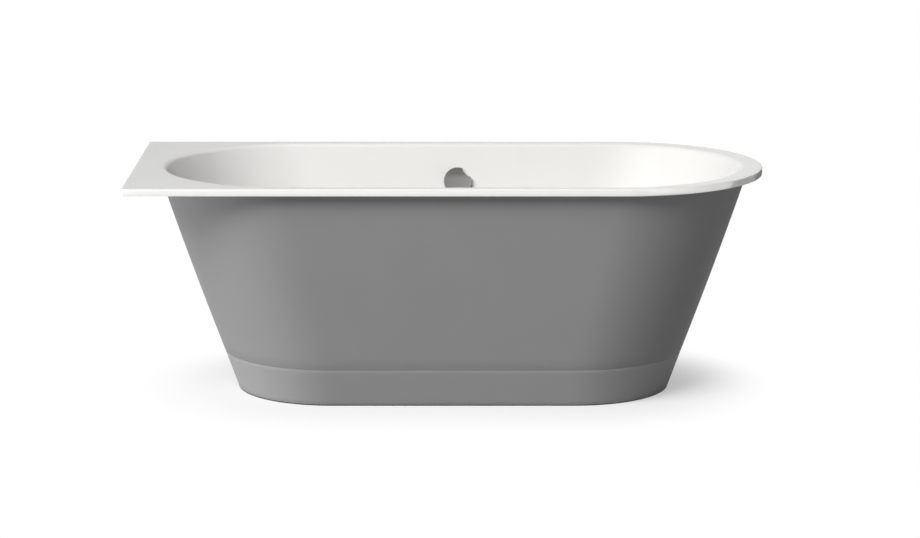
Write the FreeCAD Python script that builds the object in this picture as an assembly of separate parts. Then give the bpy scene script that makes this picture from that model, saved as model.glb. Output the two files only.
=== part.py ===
import FreeCAD, Part
import math
import os
from FreeCAD import Placement, Rotation, Vector

# A corner bath: a drawn steel tub in a tapered skirt, on levelling feet, with a pop-up waste.
# Millimetres. +X runs to the round end, +Y to the long wall, +Z up.
# The origin is on the floor, under the middle of the rim's outer box.

# Overall size
bath_length = 1750.0
bath_width = 800.0
bath_height = 628.0

# Tub, drawn from sheet steel and enamelled
sheet = 3.0
rim_drop = 19.0
rim_edge_radius = 3.0
rim_corner_radius = 4.0
side_ledge = 39.0
round_end_ledge = 60.0
square_end_ledge = 85.0
opening_roll = 18.0
bowl_floor_height = 178.0
bowl_end_lean = 262.5
bowl_side_lean = 129.0
bowl_floor_radius = 85.0

# Skirt and plinth
skirt_sheet = 2.5
skirt_end_gap = 17.0
skirt_side_gap = 11.0
skirt_end_taper = 174.5
skirt_side_taper = 63.5
crease_height = 109.5
plinth_taper = 39.0
plinth_upstand = 20.0
plinth_joggle = 12.0
seam_gap = 0.3
skirt_flange = 18.0
tape_thickness = 3.0
tape_width = 12.0
seal_height = 3.0
floor_gap = 0.5

# Opening at the back of the skirt for the pipes
service_width = 420.0
service_head = 52.0
service_corner = 30.0

# Damping pads on the bowl walls, and the earthing lug under its floor
pad_length_share = 0.1
pad_margin = 22.0
pad_height = 150.0
pad_thickness = 4.0
pad_depth = 208.0
lug_width = 20.0
lug_height = 30.0
lug_sheet = 3.0
lug_hole_radius = 3.3

# Hooks that tie the rim to the walls
anchor_sheet = 2.5
anchor_width = 40.0
anchor_plate = 68.0
anchor_hook = 12.0
anchor_hole_radius = 4.25
anchor_hole_drop = 30.0
back_anchor_spacing = 900.0
end_anchor_spacing = 260.0
end_anchor_from_wall = 80.0
hook_gap = 0.3

# Cross rails under the bowl
rail_inset = 6.5
rail_width = 40.0
rail_height = 25.0
rail_sheet = 2.0
rail_end = 32.0
rail_pad_thickness = 4.0
rail_pad_width = 36.0
rail_pad_length = 300.0
rail_stud_radius = 4.0
rail_stud_spacing = 220.0
rail_stud_length = 24.0
rail_nut_flats = 13.0
rail_nut_height = 6.5

# Levelling feet
foot_stud_radius = 6.0
foot_stud_reach = 11.0
foot_pad_radius = 25.0
foot_pad_height = 18.0
foot_pad_sole = 8.0
foot_pad_edge = 6.0
foot_neck_radius = 13.0
foot_margin = 9.0
foot_nut_flats = 19.0
foot_weld_nut_height = 10.0
foot_lock_nut_height = 6.0
foot_collar_flats = 17.0
foot_collar_height = 6.0

# Angles from the rails to the skirt
bracket_width = 30.0
bracket_sheet = 2.0
bracket_clear = 5.5
bracket_screw_radius = 3.0
bracket_screw_from_foot = 20.0
bracket_seat = 10.0
bracket_nut_flats = 10.0
bracket_nut_height = 5.0
bracket_head_height = 4.0
bracket_screw_length = 14.0

# Overflow through the rear wall, and the knob that works the plug
fittings_offset = 12.0
overflow_drop = 106.0
wall_hole_radius = 26.0
knob_radius = 40.0
knob_height = 18.0
knob_stand_off = 6.0
knob_wall = 2.5
knob_dome = 2.0
knob_edge_radius = 1.5
knob_corner_radius = 3.0
knob_hub_radius = 9.0
knob_hub_gap = 1.0
scallop_radius = 30.0
scallop_distance = 61.0
scallop_angle = 43.0
spindle_radius = 4.0
spindle_in_knob = 10.0
insert_flange_radius = 33.0
insert_flange_height = 3.0
insert_neck_depth = 15.0
insert_hub_radius = 8.0
insert_hub_depth = 8.0
clip_radius = 7.0
clip_height = 1.7
overflow_gasket_height = 3.0
overflow_gasket_radius = 38.0
overflow_cup_radius = 37.0
overflow_cup_height = 40.0
overflow_flange_radius = 41.0
overflow_flange_height = 4.0
overflow_neck_height = 10.0
overflow_spigot_length = 62.0
overflow_spigot_inset = 17.0
overflow_boss_length = 36.0
pulley_height = 7.0
pulley_flange = 2.0
pulley_groove = 2.5
cable_offset = 31.0

# Sizes that the overflow and the waste share
plastic_wall = 3.0
neck_radius = 24.5
neck_wall = 2.5
spoke_width = 4.0
spoke_height = 6.0
spoke_count = 3
thread_gap = 0.1
running_gap = 0.05
clear_gap = 0.3
spigot_radius = 15.0
pipe_wall = 2.5
pipe_overlap = 20.0
pipe_bend_radius = 90.0
clamp_wall = 3.0
clamp_width = 9.0
clamp_inset = 6.0
cable_radius = 2.5
cable_core_radius = 1.0
cable_bend_radius = 110.0
ferrule_wall = 1.5
ferrule_length = 12.0
cable_boss_radius = 5.5

# Waste in the bowl floor
recess_depth = 7.0
recess_radius = 43.0
flange_seal_height = 1.0
waste_flange_radius = 40.0
waste_flange_height = 3.0
waste_hub_radius = 7.0
waste_hub_height = 16.0
waste_gasket_height = 3.5
waste_gasket_radius = 42.0
waste_cup_radius = 36.0
waste_top_radius = 43.0
waste_top_height = 5.0
waste_neck_depth = 18.5
waste_chamber = 28.0
waste_spigot_radius = 20.0
waste_spigot_length = 23.0
waste_arm_length = 72.0

# Pop-up plug and the lever that lifts it
plug_radius = 34.0
plug_height = 4.5
plug_dome = 2.0
plug_gap = 1.5
plug_boss_radius = 17.0
plug_boss_height = 5.5
plug_seal_radius = 21.2
plug_seal_height = 3.0
plug_seal_inset = 1.0
stem_radius = 3.0
lever_reach = 27.0
lever_shaft_radius = 3.0
lever_nose_radius = 2.5
lever_arm_width = 6.0
lever_play = 0.6
lever_height = 12.0
crank_length = 16.0
crank_sheet = 3.0
crank_end_radius = 4.5
crank_pin_radius = 1.6
cable_post_distance = 52.0
cable_post_depth = 8.0
cable_post_width = 12.0

# Trap and outlet
trap_radius = 46.0
trap_floor_gap = 14.0
trap_dip_gap = 10.0
trap_outlet_drop = 26.0
collar_wall = 4.7
collar_height = 8.0
outlet_collar_length = 25.0
outlet_shoulder = 4.0
union_seal_height = 3.5
union_nut_flats = 56.0
union_lip = 3.5
union_nut_reach = 11.0
outlet_pipe_wall = 1.8
outlet_pipe_length = 205.0
outlet_bead_height = 3.0
outlet_bead_width = 4.0

# Places worked out from the sizes above
opening_half_length = (bath_length - round_end_ledge - square_end_ledge) / 2
opening_half_width = bath_width / 2 - side_ledge
bowl_depth = bath_height - bowl_floor_height
bowl_x = (square_end_ledge - round_end_ledge) / 2
bowl_end_tilt = math.atan(bowl_end_lean / bowl_depth)
bowl_side_tilt = math.atan(bowl_side_lean / bowl_depth)
rim_under = bath_height - rim_drop
floor_top = bowl_floor_height
floor_under = floor_top - sheet
skirt_top = bath_height - sheet - tape_thickness
skirt_end_tilt = math.atan(skirt_end_taper / (rim_under - crease_height))
skirt_side_tilt = math.atan(skirt_side_taper / (rim_under - crease_height))
skirt_head_half_length = opening_half_length + skirt_end_gap
skirt_head_half_width = opening_half_width + skirt_side_gap
crease_half_length = skirt_head_half_length - skirt_end_taper
crease_half_width = skirt_head_half_width - skirt_side_taper
plinth_tilt = math.atan(plinth_taper / crease_height)
fittings_x = bowl_x + fittings_offset
rail_half_spacing = crease_half_length - crease_half_width - rail_inset
rail_x = {"left": bowl_x - rail_half_spacing, "right": bowl_x + rail_half_spacing}
overflow_z = bath_height - overflow_drop
service_top = rim_under - service_head
past = 5.0
hexagon_turning = 0.96


# Shared forms

def rod(radius, low, high):
    """Round bar on Z from low to high."""
    return Part.makeCylinder(radius, high - low, Vector(0, 0, low))


def tube(outer, inner, low, high):
    """Round tube on Z from low to high."""
    return rod(outer, low, high).cut(rod(inner, low, high))


def extruded(points, along):
    """Straight bar with a polygon for its section."""
    return Part.Face(Part.makePolygon(points + points[:1])).extrude(along)


def turned(*profile):
    """Solid of revolution about Z from (radius, height) corners."""
    corners = [Vector(radius, 0, height) for radius, height in profile]
    return Part.Face(Part.makePolygon(corners + corners[:1])).revolve(Vector(), Vector(0, 0, 1), 360)


def block(low, high):
    """Box between two corners."""
    size = Vector(*high) - Vector(*low)
    return Part.makeBox(size.x, size.y, size.z, Vector(*low))


def hexagon(flats, low, high):
    """Hexagonal bar on Z, with its corners turned back a little."""
    corner = flats / math.sqrt(3)
    points = [Vector(corner * math.cos(math.radians(60 * k)), corner * math.sin(math.radians(60 * k)), low)
              for k in range(6)]
    return extruded(points, Vector(0, 0, high - low)).common(rod(hexagon_turning * corner, low, high))


def hexagon_nut(flats, bore, low, high):
    """Hexagonal nut on Z with a plain bore."""
    return hexagon(flats, low, high).cut(rod(bore, low, high))


def placed(shape, position, axis=Vector(0, 0, 1), angle=0.0):
    """Copy of a shape, turned about an axis through its origin and then moved."""
    copy = shape.copy()
    copy.Placement = Placement(Vector(*position), Rotation(axis, angle))
    return copy


def along_y(shape, position):
    """Copy of a shape made on Z, laid along +Y."""
    return placed(shape, position, Vector(1, 0, 0), -90)


def along_x(shape, position):
    """Copy of a shape made on Z, laid along +X."""
    return placed(shape, position, Vector(0, 1, 0), 90)


def stadium(half_length, half_width, z):
    """Two straight sides joined by half circles, about the middle of the bowl."""
    straight = half_length - half_width
    left, right = bowl_x - straight, bowl_x + straight
    front_left, front_right = Vector(left, -half_width, z), Vector(right, -half_width, z)
    back_right, back_left = Vector(right, half_width, z), Vector(left, half_width, z)
    return Part.Wire([
        Part.makeLine(front_left, front_right),
        Part.Arc(front_right, Vector(bowl_x + half_length, 0, z), back_right).toShape(),
        Part.makeLine(back_right, back_left),
        Part.Arc(back_left, Vector(bowl_x - half_length, 0, z), front_left).toShape()])


def between(section, inset, low, high):
    """Solid between two levels of a tapering section."""
    return Part.makeLoft([section(low, inset), section(high, inset)], True, True)


def shell(section, outer, inner, low, high):
    """Wall between two insets of a tapering section."""
    return between(section, outer, low, high).cut(between(section, inner, low, high))


def save(name, *solids):
    """Write one node, of one solid or of a group of them."""
    shape = solids[0] if len(solids) == 1 else Part.makeCompound(list(solids))
    shape.exportStep(os.path.join("parts", name + ".step"))


# Sections of the tub, the skirt and the plinth. An inset is measured square to the wall.

def bowl_section(z, inset):
    depth = bath_height - z
    return stadium(
        opening_half_length - depth * math.tan(bowl_end_tilt) - inset / math.cos(bowl_end_tilt),
        opening_half_width - depth * math.tan(bowl_side_tilt) - inset / math.cos(bowl_side_tilt), z)


def skirt_half_width(z, inset):
    half_width = skirt_head_half_width - (rim_under - z) * math.tan(skirt_side_tilt)
    return half_width - inset / math.cos(skirt_side_tilt)


def skirt_section(z, inset):
    half_length = skirt_head_half_length - (rim_under - z) * math.tan(skirt_end_tilt)
    return stadium(half_length - inset / math.cos(skirt_end_tilt), skirt_half_width(z, inset), z)


def plinth_section(z, inset):
    step = (crease_height - z) * math.tan(plinth_tilt) + inset / math.cos(plinth_tilt)
    return stadium(crease_half_length - step, crease_half_width - step, z)


def rear_wall(x, z):
    """Frame on the inside of the rear bowl wall: local Z points into the bath, local Y up the wall."""
    y = opening_half_width - (bath_height - z) * math.tan(bowl_side_tilt)
    return Placement(Vector(x, y, z), Rotation(Vector(1, 0, 0), 90 - math.degrees(bowl_side_tilt)))


def on_wall(shape, frame):
    """Copy of a shape in a wall frame."""
    copy = shape.copy()
    copy.Placement = frame.multiply(copy.Placement)
    return copy


# Tub: rim with a turned-down edge, rolled opening, and a bowl with a recess for the waste

def rim_outline(inset, z):
    """Square at the wall end and half round at the free end."""
    half = bath_width / 2 - inset
    left, right = -bath_length / 2 + inset, bath_length / 2 - inset
    front_left, front_right = Vector(left, -half, z), Vector(right - half, -half, z)
    back_right, back_left = Vector(right - half, half, z), Vector(left, half, z)
    return Part.Face(Part.Wire([
        Part.makeLine(front_left, front_right),
        Part.Arc(front_right, Vector(right, 0, z), back_right).toShape(),
        Part.makeLine(back_right, back_left),
        Part.makeLine(back_left, front_left)]))


def bowl(inset, bottom, radius, top):
    """Bowl-shaped solid with a rounded bottom edge."""
    body = between(bowl_section, inset, bottom, top)
    return body.makeFillet(radius, [edge for edge in body.Edges if edge.BoundBox.ZMax < bottom + 0.1])


def edges_round_opening(shape, z):
    """Edges at one level that run round the opening, inside the rim's outer edge."""
    reach = opening_half_width + opening_roll
    return [edge for edge in shape.Edges
            if abs(edge.BoundBox.ZMin - z) < 0.01 and abs(edge.BoundBox.ZMax - z) < 0.01
            and edge.BoundBox.YMax < reach and edge.BoundBox.YMin > -reach
            and edge.BoundBox.XMin > bowl_x - opening_half_length - opening_roll]


rim = rim_outline(0, rim_under).extrude(Vector(0, 0, rim_drop))
rim = rim.makeFillet(rim_corner_radius, [
    edge for edge in rim.Edges if edge.BoundBox.ZLength > rim_drop / 2 and edge.BoundBox.XMax < 0])
rim = rim.makeFillet(rim_edge_radius, [
    edge for edge in rim.Edges if edge.BoundBox.ZMin > bath_height - 0.01])
bowl_outside = bowl(-sheet, floor_under, bowl_floor_radius + sheet, bath_height - sheet / 2)
bowl_inside = bowl(0, floor_top, bowl_floor_radius, bath_height + past)
tub = rim.fuse(bowl_outside).cut(bowl_inside)
tub = tub.makeFillet(opening_roll, edges_round_opening(tub, bath_height))
hollow = rim_outline(sheet, rim_under - past).extrude(Vector(0, 0, rim_drop + past - sheet)).cut(bowl_outside)
hollow = hollow.makeFillet(opening_roll - sheet, edges_round_opening(hollow, bath_height - sheet))
tub = tub.cut(hollow)

recess_top = floor_top - recess_depth
recess_under = recess_top - sheet
waste_axis = Vector(fittings_x, 0, 0)
dish = turned((0, recess_under), (recess_radius + sheet, recess_under),
              (recess_radius + recess_depth + sheet, floor_under), (0, floor_under))
well = turned((0, recess_top), (recess_radius, recess_top),
              (recess_radius + recess_depth + past, floor_top + past), (0, floor_top + past))
overflow_frame = rear_wall(fittings_x, overflow_z)
tub = tub.fuse(placed(dish, waste_axis)).cut(placed(well, waste_axis))
tub = tub.cut(placed(rod(wall_hole_radius, recess_under - past, floor_top), waste_axis))
tub = tub.cut(on_wall(rod(wall_hole_radius, -sheet - past, past), overflow_frame))
os.makedirs("parts", exist_ok=True)
save("bath_tub", tub)

# Damping pads, two on each long wall, beside the rounding of the ends
wall_straight = opening_half_length - opening_half_width
wall_straight -= pad_depth * (math.tan(bowl_end_tilt) - math.tan(bowl_side_tilt))
pad_length = pad_length_share * bath_length
pad_far = wall_straight - pad_margin
pad_near = pad_far - pad_length
pad_frame = rear_wall(bowl_x, bath_height - pad_depth)
pad = block((pad_near, -pad_height / 2, -sheet - pad_thickness), (pad_far, pad_height / 2, -sheet))
rear_pads = [on_wall(each, pad_frame) for each in (pad, pad.mirror(Vector(), Vector(1, 0, 0)))]
save("sound_pads", *rear_pads, *[each.mirror(Vector(), Vector(0, 1, 0)) for each in rear_pads])

# Earthing lug under the floor, half-way from the left rail to the waste
lug_x = (rail_x["left"] + fittings_x) / 2
lug = block((lug_x - lug_width / 2, -lug_sheet / 2, floor_under - lug_height),
            (lug_x + lug_width / 2, lug_sheet / 2, floor_under))
lug_hole_z = floor_under - lug_height + lug_width / 2
save("earth_lug", lug.cut(along_y(rod(lug_hole_radius, -lug_sheet, lug_sheet), (lug_x, 0, lug_hole_z))))

# Skirt: tapered shell with a flange that is bonded under the rim, open at the back for the pipes
doorway = block((fittings_x - service_width / 2, 0, -past),
                (fittings_x + service_width / 2, bath_width, service_top))
doorway = doorway.makeFillet(service_corner, [
    edge for edge in doorway.Edges if edge.BoundBox.YLength > 1 and edge.BoundBox.ZMin > service_top - 0.1])
flange_section = skirt_section(skirt_top, -skirt_flange)
skirt_wall = shell(skirt_section, 0, skirt_sheet, crease_height, skirt_top)
skirt_lip = Part.Face(flange_section).extrude(Vector(0, 0, -skirt_sheet))
skirt_lip = skirt_lip.cut(between(skirt_section, skirt_sheet, skirt_top - past, skirt_top + past))
save("skirt", skirt_wall.fuse(skirt_lip).removeSplitter().cut(doorway))

# Bond tape on the skirt's flange
tape_inset = -(skirt_flange - tape_width) / 2
tape_outer_face = Part.Face(skirt_section(skirt_top, tape_inset - tape_width))
tape_face = tape_outer_face.cut(Part.Face(skirt_section(skirt_top, tape_inset)))
save("skirt_bond_tape", tape_face.Faces[0].extrude(Vector(0, 0, tape_thickness)))

# Plinth: lower band with a joggled upstand that slips up behind the skirt
plinth_top = crease_height - seam_gap
upstand_inset = skirt_sheet + seam_gap
plinth = shell(plinth_section, 0, skirt_sheet, seal_height, plinth_top)
plinth = plinth.fuse(shell(plinth_section, skirt_sheet / 2, 3 * skirt_sheet,
                           plinth_top - plinth_joggle, plinth_top))
plinth = plinth.fuse(shell(skirt_section, upstand_inset, upstand_inset + skirt_sheet,
                           crease_height - plinth_joggle / 2, crease_height + plinth_upstand))
save("plinth", plinth.removeSplitter().cut(doorway))

# Rubber edge along the foot of the plinth
save("floor_seal", shell(plinth_section, 0, skirt_sheet, floor_gap, seal_height).cut(doorway))

# Wall hooks: a plate on the wall, cranked in behind the rim's turned-down edge
hook_face = sheet + hook_gap
anchor_profile = [(0, rim_under - hook_gap - anchor_plate), (0, rim_under - hook_gap),
                  (-hook_face, rim_under - hook_gap), (-hook_face, rim_under + anchor_hook),
                  (-hook_face - anchor_sheet, rim_under + anchor_hook),
                  (-hook_face - anchor_sheet, rim_under - hook_gap - anchor_sheet),
                  (-anchor_sheet, rim_under - hook_gap - anchor_sheet),
                  (-anchor_sheet, rim_under - hook_gap - anchor_plate)]
anchor_points = [Vector(-anchor_width / 2, y, z) for y, z in anchor_profile]
anchor = extruded(anchor_points, Vector(anchor_width, 0, 0))
anchor_hole_z = rim_under - hook_gap - anchor_plate + anchor_hole_drop
anchor = anchor.cut(along_y(rod(anchor_hole_radius, -past, past), (0, 0, anchor_hole_z)))
back_straight_x = -bath_width / 4
back_anchors = [placed(anchor, (back_straight_x + side * back_anchor_spacing / 2, bath_width / 2, 0))
                for side in (-1, 1)]
far_anchor_y = bath_width / 2 - end_anchor_from_wall
end_anchors = [placed(anchor, (-bath_length / 2, y, 0), Vector(0, 0, 1), 90)
               for y in (far_anchor_y - end_anchor_spacing, far_anchor_y)]
save("wall_anchors", *back_anchors, *end_anchors)

# Cross rails, with rubber strips between them and the bowl
rail_top = floor_under - rail_pad_thickness
rail_under = rail_top - rail_height
web_under = rail_top - rail_sheet
foot_y = crease_half_width - plinth_taper - skirt_sheet - foot_pad_radius - foot_margin
bracket_screw_y = foot_y + bracket_screw_from_foot
rail_half_length = foot_y + rail_end
stud_y = rail_stud_spacing / 2
sides = {"front": -1, "rear": 1}
half, inner = rail_width / 2, rail_width / 2 - rail_sheet
channel = [(-half, rail_under), (-half, rail_top), (half, rail_top), (half, rail_under),
           (inner, rail_under), (inner, web_under), (-inner, web_under), (-inner, rail_under)]
channel_points = [Vector(x, -rail_half_length, z) for x, z in channel]
rail = extruded(channel_points, Vector(0, 2 * rail_half_length, 0))
for side in sides.values():
    for radius, y in ((rail_stud_radius + clear_gap, stud_y), (foot_stud_radius + clear_gap, foot_y),
                      (bracket_screw_radius + clear_gap, bracket_screw_y)):
        rail = rail.cut(placed(rod(radius, rail_under, rail_top), (0, side * y, 0)))
for name, x in rail_x.items():
    save(name + "_rail", placed(rail, (x, 0, 0)))

strip = block((-rail_pad_width / 2, -rail_pad_length / 2, rail_top),
              (rail_pad_width / 2, rail_pad_length / 2, floor_under))
for side in sides.values():
    strip = strip.cut(placed(rod(rail_stud_radius + clear_gap, rail_top, floor_under), (0, side * stud_y, 0)))
save("rail_pads", *[placed(strip, (x, 0, 0)) for x in rail_x.values()])

stud_places = [(x, side * stud_y, 0) for x in rail_x.values() for side in sides.values()]
rail_stud = rod(rail_stud_radius, floor_under - rail_stud_length, floor_under)
rail_nut = hexagon_nut(rail_nut_flats, rail_stud_radius + running_gap, web_under - rail_nut_height, web_under)
save("rail_studs", *[placed(rail_stud, place) for place in stud_places])
save("rail_nuts", *[placed(rail_nut, place) for place in stud_places])

# Levelling feet: a stud through a weld nut in the rail, a lock nut and a pad
foot_places = {side + "_" + end: (rail_x[end], sides[side] * foot_y, 0) for end in rail_x for side in sides}
foot_bore = foot_stud_radius + running_gap
weld_nut_under = web_under - foot_weld_nut_height
weld_nut = hexagon_nut(foot_nut_flats, foot_bore, weld_nut_under, web_under)
lock_nut = hexagon_nut(foot_nut_flats, foot_bore, weld_nut_under - foot_lock_nut_height, weld_nut_under)
save("foot_weld_nuts", *[placed(weld_nut, place) for place in foot_places.values()])
save("foot_lock_nuts", *[placed(lock_nut, place) for place in foot_places.values()])
foot_stud = rod(foot_stud_radius, foot_pad_sole, rail_top + foot_stud_reach)
foot_stud = foot_stud.fuse(hexagon(foot_collar_flats, foot_pad_height, foot_pad_height + foot_collar_height))
foot_pad = turned((0, 0), (foot_pad_radius, 0), (foot_pad_radius, foot_pad_edge),
                  (foot_neck_radius, foot_pad_height - foot_pad_edge / 2),
                  (foot_neck_radius, foot_pad_height),
                  (foot_bore, foot_pad_height), (foot_bore, foot_pad_sole), (0, foot_pad_sole))
for name, place in foot_places.items():
    save(name + "_foot_stud", placed(foot_stud, place))
    save(name + "_foot_pad", placed(foot_pad, place))

# Angles that steady the foot of the skirt from the rail ends
bracket_top = rail_top + bracket_sheet
leg_low = crease_height + plinth_upstand + bracket_clear
leg_sheet = bracket_sheet / math.cos(skirt_side_tilt)
angle_profile = [(skirt_half_width(leg_low, skirt_sheet), leg_low),
                 (skirt_half_width(bracket_top, skirt_sheet), bracket_top),
                 (bracket_screw_y - bracket_seat, bracket_top), (bracket_screw_y - bracket_seat, rail_top),
                 (skirt_half_width(rail_top, skirt_sheet) - leg_sheet, rail_top),
                 (skirt_half_width(leg_low, skirt_sheet) - leg_sheet, leg_low)]
angle_points = [Vector(-bracket_width / 2, y, z) for y, z in angle_profile]
bracket = extruded(angle_points, Vector(bracket_width, 0, 0))
screw_hole = rod(bracket_screw_radius + clear_gap, rail_top, bracket_top)
bracket = bracket.cut(placed(screw_hole, (0, bracket_screw_y, 0)))
bracket_screw = rod(bracket_screw_radius, bracket_top - bracket_screw_length, bracket_top)
bracket_screw = bracket_screw.fuse(hexagon(bracket_nut_flats, bracket_top, bracket_top + bracket_head_height))
bracket_nut = hexagon_nut(bracket_nut_flats, bracket_screw_radius + running_gap,
                          web_under - bracket_nut_height, web_under)
front_bracket = bracket.mirror(Vector(), Vector(0, 1, 0))
screw_places = [(x, side * bracket_screw_y, 0) for x in rail_x.values() for side in sides.values()]
save("skirt_brackets", *[placed(each, (x, 0, 0))
                         for x in rail_x.values() for each in (bracket, front_bracket)])
save("bracket_screws", *[placed(bracket_screw, place) for place in screw_places])
save("bracket_nuts", *[placed(bracket_nut, place) for place in screw_places])

# Overflow, in the frame of the rear wall. Heights below zero are behind the wall's inner face.
def spokes(radius, low, high):
    """Arms from a hub to a round neck."""
    arm = block((0, -spoke_width / 2, low), (radius, spoke_width / 2, high))
    arms = [placed(arm, (0, 0, 0), Vector(0, 0, 1), 90 + 360 * k / spoke_count) for k in range(spoke_count)]
    return arms[0].multiFuse(arms[1:])


scallop_turn = math.radians(scallop_angle)
scallop_centre = Vector(math.cos(scallop_turn), math.sin(scallop_turn), 0) * scallop_distance
dome_radius = (knob_radius ** 2 + knob_dome ** 2) / (2 * knob_dome)


def scalloped(radius, scallop):
    """Round slab as high as the knob, with the finger scallop bitten out of its edge."""
    bite = placed(rod(scallop, knob_stand_off, knob_height), scallop_centre)
    return rod(radius, knob_stand_off, knob_height).cut(bite)


def domed(slab, inset):
    """Part of a slab under the ball that the knob's face follows, or under a smaller ball inside it."""
    ball = Part.makeSphere(dome_radius - inset, Vector(0, 0, knob_height - dome_radius), Vector(0, 1, 0))
    return slab.common(ball)


def is_scallop_corner(edge):
    """Whether an edge stands upright where the scallop meets the round of the knob."""
    flat = Vector(edge.CenterOfMass.x, edge.CenterOfMass.y, 0)
    on_scallop = abs(flat.distanceToPoint(scallop_centre) - scallop_radius) < 0.01
    return on_scallop and abs(flat.Length - knob_radius) < 0.01


knob_plate = knob_height - knob_wall
knob_hub_end = insert_flange_height + knob_hub_gap
spindle_top = knob_hub_end + spindle_in_knob
knob = scalloped(knob_radius, scallop_radius)
knob = knob.makeFillet(knob_corner_radius, [edge for edge in knob.Edges if is_scallop_corner(edge)])
knob = domed(knob, 0)
knob = knob.makeFillet(knob_edge_radius, [
    edge for edge in knob.Edges if edge.BoundBox.ZMin > knob_height - 2 * knob_dome])
knob = knob.cut(domed(scalloped(knob_radius - knob_wall, scallop_radius + knob_wall), knob_wall))
knob = knob.fuse(rod(knob_hub_radius, knob_hub_end, knob_plate))
knob = knob.cut(rod(spindle_radius + running_gap, knob_hub_end, spindle_top))
save("overflow_knob", on_wall(knob, overflow_frame))

gasket_back = -sheet - overflow_gasket_height
insert = tube(insert_flange_radius, neck_radius - neck_wall, 0, insert_flange_height)
insert = insert.fuse(tube(neck_radius, neck_radius - neck_wall, -insert_neck_depth, insert_flange_height))
insert = insert.fuse(spokes(neck_radius - neck_wall / 2, -insert_hub_depth, spoke_height - insert_hub_depth))
insert = insert.fuse(rod(insert_hub_radius, -insert_hub_depth, insert_flange_height))
insert = insert.cut(rod(spindle_radius + running_gap, -insert_neck_depth, insert_flange_height))
save("overflow_insert", on_wall(insert, overflow_frame))
gasket = tube(overflow_gasket_radius, neck_radius + clear_gap, gasket_back, -sheet)
save("overflow_gasket", on_wall(gasket, overflow_frame))

cup_back = gasket_back - overflow_cup_height
cup_bore = overflow_cup_radius - plastic_wall
neck_back = gasket_back - overflow_neck_height
spigot_depth = cup_back + overflow_spigot_inset
spigot_bore = spigot_radius - plastic_wall


def down_wall(shape, x, start):
    """Copy of a shape made on Z, laid down the wall at the depth of the spigot."""
    return placed(shape, (x, -start, spigot_depth), Vector(1, 0, 0), 90)


cup = rod(overflow_flange_radius, gasket_back - overflow_flange_height, gasket_back)
cup = cup.fuse(rod(overflow_cup_radius, cup_back, gasket_back))
cup = cup.fuse(down_wall(rod(spigot_radius, 0, overflow_spigot_length), 0, 0))
cup = cup.fuse(down_wall(rod(cable_boss_radius, 0, overflow_boss_length), cable_offset, 0))
cup = cup.cut(rod(cup_bore, cup_back + plastic_wall, neck_back))
cup = cup.cut(rod(neck_radius + thread_gap, neck_back, gasket_back))
cup = cup.cut(down_wall(rod(spigot_bore, 0, overflow_spigot_length), 0, 0))
cup = cup.cut(down_wall(rod(cable_core_radius, 0, overflow_boss_length), cable_offset, 0))
bearing_top = spigot_depth - pulley_height / 2 - clear_gap
cup = cup.fuse(tube(clip_radius, spindle_radius + running_gap, cup_back + plastic_wall, bearing_top))
save("overflow_body", on_wall(cup, overflow_frame))

spindle_end = cup_back + plastic_wall + clear_gap
save("overflow_spindle", on_wall(rod(spindle_radius, spindle_end, spindle_top), overflow_frame))
clip_top = -insert_hub_depth - clear_gap
clip = tube(clip_radius, spindle_radius + running_gap, clip_top - clip_height, clip_top)
save("spindle_clip", on_wall(clip, overflow_frame))
pulley_low, pulley_high = spigot_depth - pulley_height / 2, spigot_depth + pulley_height / 2
pulley_rim = cable_offset + cable_core_radius
pulley = turned((spindle_radius + running_gap, pulley_low), (pulley_rim, pulley_low),
                (pulley_rim, pulley_low + pulley_flange), (pulley_rim - pulley_groove, spigot_depth),
                (pulley_rim, pulley_high - pulley_flange), (pulley_rim, pulley_high),
                (spindle_radius + running_gap, pulley_high))
save("drive_pulley", on_wall(pulley, overflow_frame))

# Waste in the floor recess, clamped through the floor by the neck of its flange
flange_low = recess_top + flange_seal_height
flange_top = flange_low + waste_flange_height
waste_top = recess_under - waste_gasket_height
neck_low = waste_top - waste_neck_depth
chamber_low = neck_low - waste_chamber
waste_low = chamber_low - plastic_wall
spigot_low = waste_low - waste_spigot_length
hub_low = neck_low + clear_gap
hub_top = hub_low + waste_hub_height
waste_flange = tube(waste_flange_radius, neck_radius - neck_wall, flange_low, flange_top)
waste_flange = waste_flange.fuse(tube(neck_radius, neck_radius - neck_wall, hub_low, flange_top))
waste_flange = waste_flange.fuse(spokes(neck_radius - neck_wall / 2, hub_low, hub_low + spoke_height))
waste_flange = waste_flange.fuse(rod(waste_hub_radius, hub_low, hub_top))
waste_flange = waste_flange.cut(rod(stem_radius + running_gap, neck_low, hub_top))
save("waste_flange", placed(waste_flange, waste_axis))
flange_seal = tube(waste_flange_radius, neck_radius + clear_gap, recess_top, flange_low)
waste_gasket = tube(waste_gasket_radius, neck_radius + clear_gap, waste_top, recess_under)
save("flange_seal", placed(flange_seal, waste_axis))
save("waste_gasket", placed(waste_gasket, waste_axis))

# Plug, which slides on its stem in the hub of the flange
plug_low = flange_top + plug_gap
boss_low = plug_low - plug_boss_height
plug_top = plug_low + plug_height
plug = turned((0, boss_low), (plug_boss_radius, boss_low), (plug_boss_radius, plug_low),
              (plug_radius, plug_low), (plug_radius, plug_top - plug_dome),
              (plug_radius - plug_dome, plug_top), (0, plug_top))
plug = plug.cut(rod(stem_radius + running_gap, boss_low, plug_low))
seal_low = boss_low + plug_seal_inset
lever_z = chamber_low + lever_height
stem_low = lever_z + lever_nose_radius + lever_play
save("waste_plug", placed(plug, waste_axis))
plug_seal = tube(plug_seal_radius, plug_boss_radius + running_gap, seal_low, seal_low + plug_seal_height)
save("plug_seal", placed(plug_seal, waste_axis))
save("plug_stem", placed(rod(stem_radius, stem_low, plug_low), waste_axis))

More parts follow.
